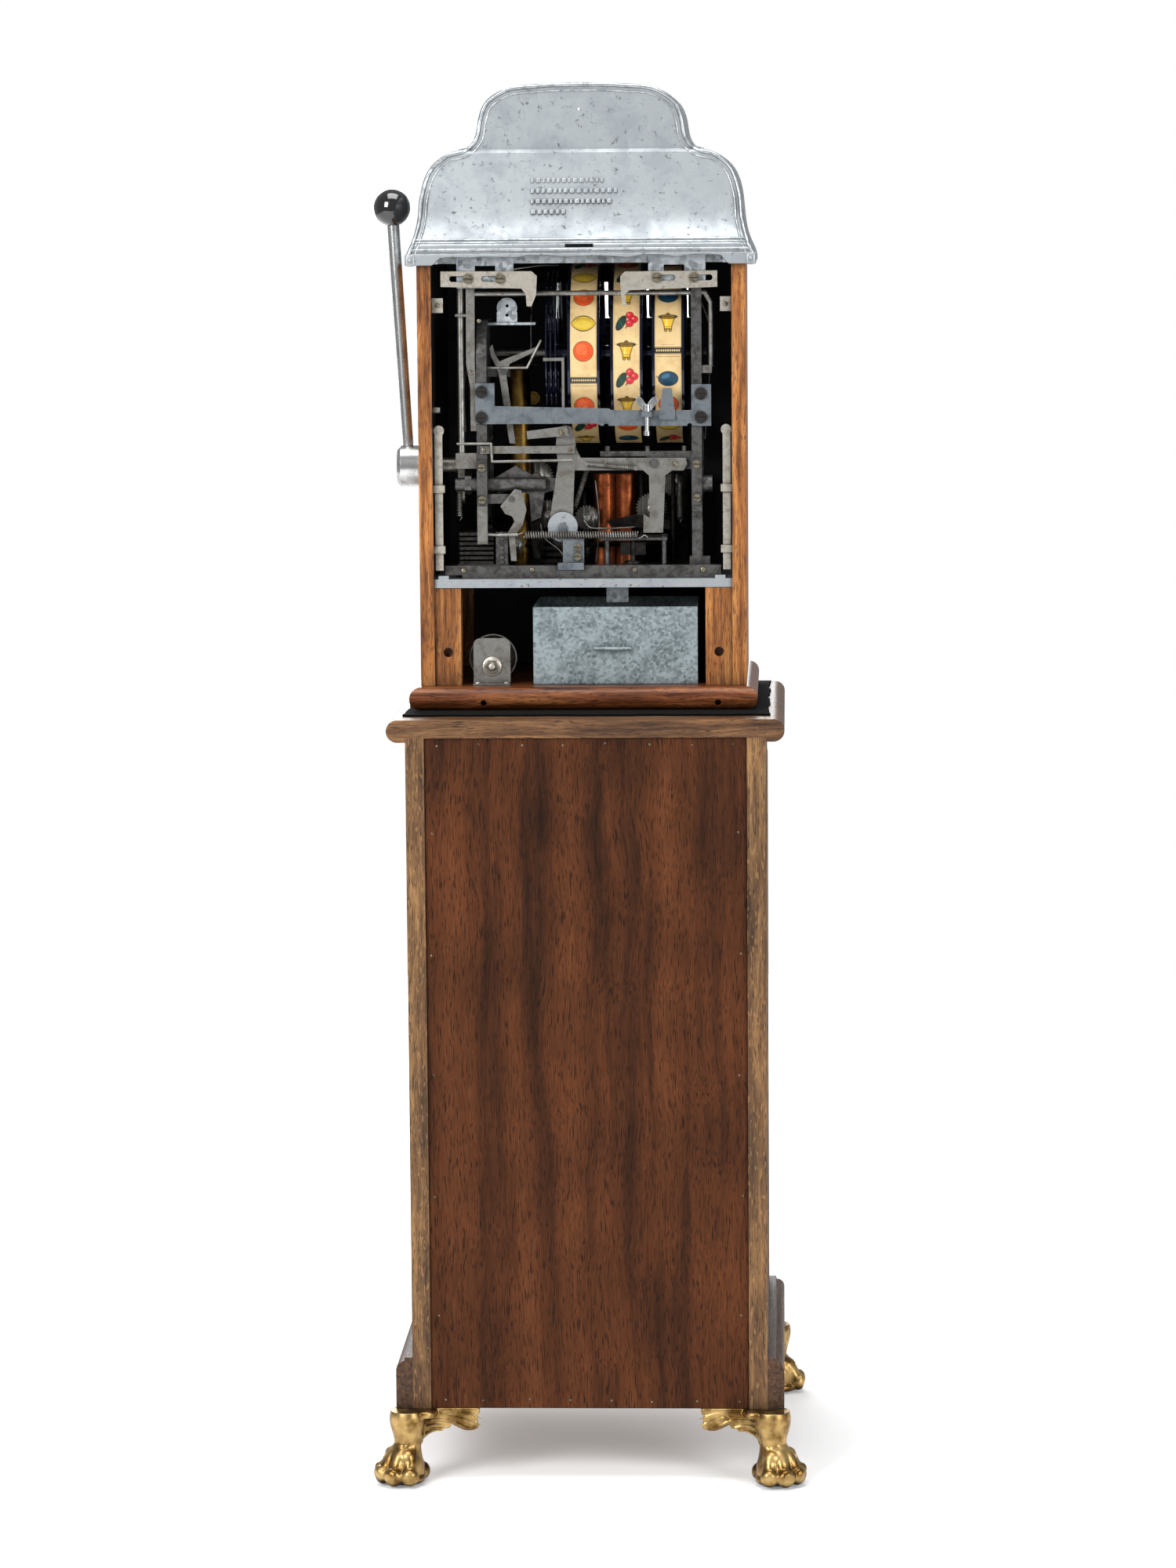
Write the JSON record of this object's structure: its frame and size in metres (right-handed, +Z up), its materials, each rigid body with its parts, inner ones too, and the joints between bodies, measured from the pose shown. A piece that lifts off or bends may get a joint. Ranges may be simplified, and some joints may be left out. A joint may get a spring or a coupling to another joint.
{
  "type": "three-reel lever slot machine on a stand",
  "caption": "Vintage lever-operated reel machine with its rear door off, showing the mechanism, on a panelled wooden cupboard stand with brass paw feet.",
  "frame": {"origin": "on the floor under the middle of the four paw feet", "axes": "+Z up, -Y towards the player at the front, +Y out of the open rear, +X the side with the pull handle"},
  "size_m": [0.512, 0.525, 1.6255],
  "materials": {
    "oak_frame": "oiled oak",
    "walnut_panel": "dark stained plywood",
    "oak_moulding": "worn oak moulding",
    "oak_case": "varnished oak",
    "mahogany": "red-brown varnish",
    "brass_cast": "polished cast brass",
    "steel_dark": "oiled dark steel",
    "steel_bright": "worn bright steel",
    "iron_cast": "oily cast iron",
    "alloy_cast": "polished cast aluminium with grime",
    "zinc": "galvanised sheet",
    "copper": "bare copper",
    "chrome": "nickel plate",
    "ball": "black gloss",
    "felt": "black felt",
    "glass": "clear",
    "reel": "paper strip on a blued drum"
  },
  "bodies": {
    "base": {"stand_frame": "oak_frame", "stand_panels": "oak_frame", "stand_rear_panel": "walnut_panel", "stand_top_board": "oak_frame", "top_moulding": "oak_moulding", "base_moulding": "oak_moulding", "paw_feet": "brass_cast", "foot_screws": "steel_dark", "felt_mat": "felt", "plinth": "mahogany", "case_sides": "oak_case", "shelf_posts": "oak_case", "shelf": "alloy_cast", "coin_chute": "zinc", "front_casting": "alloy_cast", "window_glass": "glass", "hood": "alloy_cast", "latch_plates": "zinc", "payout_cup": "alloy_cast", "front_fittings": "brass_cast", "mechanism_base": "iron_cast", "side_frame_left": "iron_cast", "side_frame_right": "iron_cast", "bearing_caps": "iron_cast", "slotted_screws": "steel_bright", "cross_plate": "steel_bright", "star_screws": "steel_dark", "reel_shaft": "steel_bright", "bar_guides": "zinc", "upright_rods": "steel_bright", "main_spring": "steel_bright", "roller_bracket": "steel_bright", "coin_tube": "brass_cast", "coin_bracket": "zinc", "copper_shield": "copper", "governor_frame": "steel_bright", "gong": "steel_bright", "handle_bushing": "chrome"},
    "handle": {"handle_lever": "chrome", "handle_ball": "ball", "operating_shaft": "steel_bright"},
    "reel_one": {"reel_1": "reel"},
    "reel_two": {"reel_2": "reel"},
    "reel_three": {"reel_3": "reel"},
    "cash_drawer": {"coin_box": "zinc"},
    "latch_left": {"latch_arm_left": "steel_bright"},
    "latch_right": {"latch_arm_right": "steel_bright"},
    "lock_left": {"lock_bar_left": "zinc"},
    "lock_right": {"lock_bar_right": "zinc"},
    "wing_screw": {"wing_bolt": "steel_bright"},
    "slides": {"payout_slides": "steel_dark"},
    "trip_lever": {"main_lever": "steel_bright"},
    "rocker_arm": {"rocker": "iron_cast"},
    "kicker_arm": {"kicker": "zinc"},
    "fork": {"fork_lever": "steel_bright"},
    "guide_roller": {"roller": "alloy_cast"},
    "fan": {"governor_fan": "steel_dark"},
    "cupboard_door": {"stand_door": "oak_frame", "door_knob": "brass_cast"},
    "button": {"return_button": "brass_cast"}
  },
  "joints": [
    {"name": "handle_pull", "type": "hinge", "parent": "base", "child": "handle", "pos_m": [0.205, 0.0235, 1.18], "axis": [1, 0, 0], "range_deg": [0, 75], "stiffness_Nm_per_rad": 1.5, "springref_deg": -17.19},
    {"name": "reel_one_spin", "type": "hinge", "parent": "base", "child": "reel_one", "pos_m": [0.0037, -0.021, 1.31], "axis": [1, 0, 0], "continuous": true},
    {"name": "reel_two_spin", "type": "hinge", "parent": "base", "child": "reel_two", "pos_m": [-0.0465, -0.021, 1.31], "axis": [1, 0, 0], "continuous": true},
    {"name": "reel_three_spin", "type": "hinge", "parent": "base", "child": "reel_three", "pos_m": [-0.095, -0.021, 1.31], "axis": [1, 0, 0], "continuous": true},
    {"name": "drawer_slide", "type": "slide", "parent": "base", "child": "cash_drawer", "axis": [0, 1, 0], "range_m": [0, 0.17]},
    {"name": "latch_left_slide", "type": "slide", "parent": "base", "child": "latch_left", "axis": [1, 0, 0], "range_m": [-0.018, 0]},
    {"name": "latch_right_slide", "type": "slide", "parent": "base", "child": "latch_right", "axis": [1, 0, 0], "range_m": [0, 0.018]},
    {"name": "lock_left_lift", "type": "slide", "parent": "base", "child": "lock_left", "axis": [0, 0, 1], "range_m": [0, 0.01]},
    {"name": "lock_right_lift", "type": "slide", "parent": "base", "child": "lock_right", "axis": [0, 0, 1], "range_m": [0, 0.01]},
    {"name": "wing_screw_turn", "type": "hinge", "parent": "base", "child": "wing_screw", "pos_m": [-0.0702, 0.0975, 1.241], "axis": [0, 0, 1], "continuous": true},
    {"name": "payout_slide", "type": "slide", "parent": "base", "child": "slides", "axis": [0, -1, 0], "range_m": [0, 0.015]},
    {"name": "trip_lever_rock", "type": "hinge", "parent": "base", "child": "trip_lever", "pos_m": [-0.0776, 0.0825, 1.184], "axis": [0, 1, 0], "range_deg": [0, 2.5]},
    {"name": "rocker_turn", "type": "hinge", "parent": "base", "child": "rocker_arm", "pos_m": [0.095, 0.0775, 1.16], "axis": [1, 0, 0], "range_deg": [-12, 0]},
    {"name": "kicker_turn", "type": "hinge", "parent": "base", "child": "kicker_arm", "pos_m": [0.0889, 0.089, 1.1435], "axis": [0, 1, 0], "range_deg": [0, 3]},
    {"name": "fork_rock", "type": "hinge", "parent": "base", "child": "fork", "pos_m": [0.098, 0.062, 1.291], "axis": [0, 1, 0], "range_deg": [-3, 3]},
    {"name": "roller_turn", "type": "hinge", "parent": "base", "child": "guide_roller", "pos_m": [0.0292, 0.0875, 1.1105], "axis": [0, 1, 0], "continuous": true},
    {"name": "fan_spin", "type": "hinge", "parent": "base", "child": "fan", "pos_m": [-0.0518, 0.0585, 1.081], "axis": [0, 0, 1], "continuous": true},
    {"name": "door_swing", "type": "hinge", "parent": "base", "child": "cupboard_door", "pos_m": [0.175, -0.205, 0.5], "axis": [0, 0, 1], "range_deg": [0, 95]},
    {"name": "button_push", "type": "slide", "parent": "base", "child": "button", "axis": [0, 1, 0], "range_m": [0, 0.004], "stiffness_N_per_m": 400, "springref_m": -0.002}
  ],
  "couplings": [
    {"joint": "trip_lever_rock", "follows": "handle_pull", "ratio": 0.033333},
    {"joint": "rocker_turn", "follows": "handle_pull", "ratio": -0.16},
    {"joint": "kicker_turn", "follows": "handle_pull", "ratio": 0.04}
  ]
}
